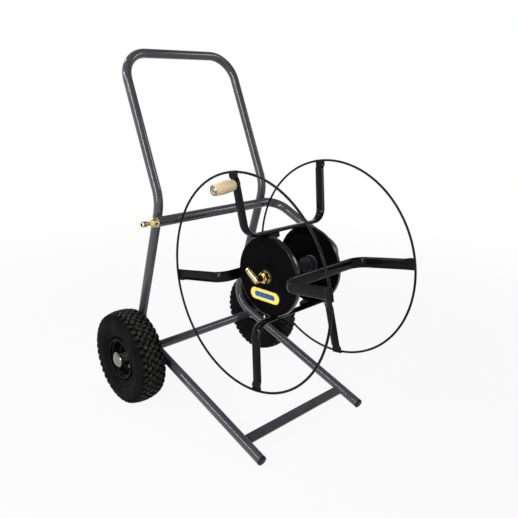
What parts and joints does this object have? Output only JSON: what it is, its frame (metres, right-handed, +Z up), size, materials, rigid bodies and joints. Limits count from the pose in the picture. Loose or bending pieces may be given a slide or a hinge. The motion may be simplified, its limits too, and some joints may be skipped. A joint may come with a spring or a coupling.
{
  "type": "hose reel cart",
  "caption": "Garden hose reel cart: bent tube frame on pneumatic wheels, open wire reel on a water-carrying pipe, wooden crank grip and brass fittings.",
  "frame": {"origin": "middle of the footprint, on the floor", "axes": "+Z up, +Y from the feet back to the wheels, +X towards the side where the water pipe bends forward"},
  "size_m": [0.6066, 0.7434, 0.9561],
  "materials": {
    "grey_paint": "semi-gloss powder coat",
    "black_paint": "gloss powder coat",
    "rim_paint": "satin",
    "tyre_rubber": "matt",
    "seal_rubber": "matt",
    "brass": "bright machined",
    "steel": "zinc plated",
    "chrome": "mirror",
    "wood": "waxed",
    "black_plastic": "matt moulded"
  },
  "bodies": {
    "frame": {"frame_tube": "grey_paint", "front_strip": "grey_paint", "axle_tube": "grey_paint", "axle_rod": "steel", "water_pipe": "grey_paint", "inlet_adaptor": "brass", "inlet_nose": "brass", "inlet_seal": "seal_rubber", "outlet_adaptor": "brass", "reel_thrust_washer": "brass", "reel_stop_collar": "black_paint", "left_foot_cap": "black_plastic", "left_axle_bush": "black_plastic", "left_wheel_washers": "steel", "left_hub_cap": "chrome", "right_foot_cap": "black_plastic", "right_axle_bush": "black_plastic", "right_wheel_washers": "steel", "right_hub_cap": "chrome"},
    "reel": {"near_ring": "black_paint", "far_ring": "black_paint", "front_spoke_tube": "black_paint", "top_spoke_tube": "black_paint", "rear_spoke_tube": "black_paint", "bottom_spoke_tube": "black_paint", "near_disc": "black_paint", "far_disc": "black_paint", "near_gussets": "black_paint", "far_gussets": "black_paint", "near_hub_collar": "grey_paint", "far_hub_collar": "grey_paint", "near_reel_bush": "black_plastic", "far_reel_bush": "black_plastic", "grip_spindle": "chrome", "grip_washers": "steel", "grip_lock_nut": "steel"},
    "grip": {"wooden_grip": "wood", "grip_sleeve": "steel"},
    "elbow": {"swivel_elbow": "brass", "swivel_seal": "seal_rubber", "outlet_nose": "brass", "outlet_seal": "seal_rubber"},
    "left_wheel": {"left_tyre": "tyre_rubber", "left_inner_tube": "tyre_rubber", "left_outer_rim_half": "rim_paint", "left_inner_rim_half": "rim_paint", "left_valve": "seal_rubber", "left_rim_bolts": "steel", "left_hub_tube": "steel", "left_hub_bushes": "black_plastic"},
    "right_wheel": {"right_tyre": "tyre_rubber", "right_inner_tube": "tyre_rubber", "right_outer_rim_half": "rim_paint", "right_inner_rim_half": "rim_paint", "right_valve": "seal_rubber", "right_rim_bolts": "steel", "right_hub_tube": "steel", "right_hub_bushes": "black_plastic"}
  },
  "joints": [
    {"name": "reel_spin", "type": "hinge", "parent": "frame", "child": "reel", "pos_m": [0.015, -0.10225, 0.4125], "axis": [1, 0, 0], "continuous": true},
    {"name": "grip_spin", "type": "hinge", "parent": "reel", "child": "grip", "pos_m": [-0.17546, -0.0602, 0.6416], "axis": [0.9951, 0.0179, 0.0977], "continuous": true},
    {"name": "elbow_swivel", "type": "hinge", "parent": "frame", "child": "elbow", "pos_m": [-0.08325, -0.10225, 0.4125], "axis": [1, 0, 0], "continuous": true},
    {"name": "left_wheel_spin", "type": "hinge", "parent": "frame", "child": "left_wheel", "pos_m": [-0.2545, 0.24175, 0.13], "axis": [1, 0, 0], "continuous": true},
    {"name": "right_wheel_spin", "type": "hinge", "parent": "frame", "child": "right_wheel", "pos_m": [0.2545, 0.24175, 0.13], "axis": [1, 0, 0], "continuous": true}
  ]
}
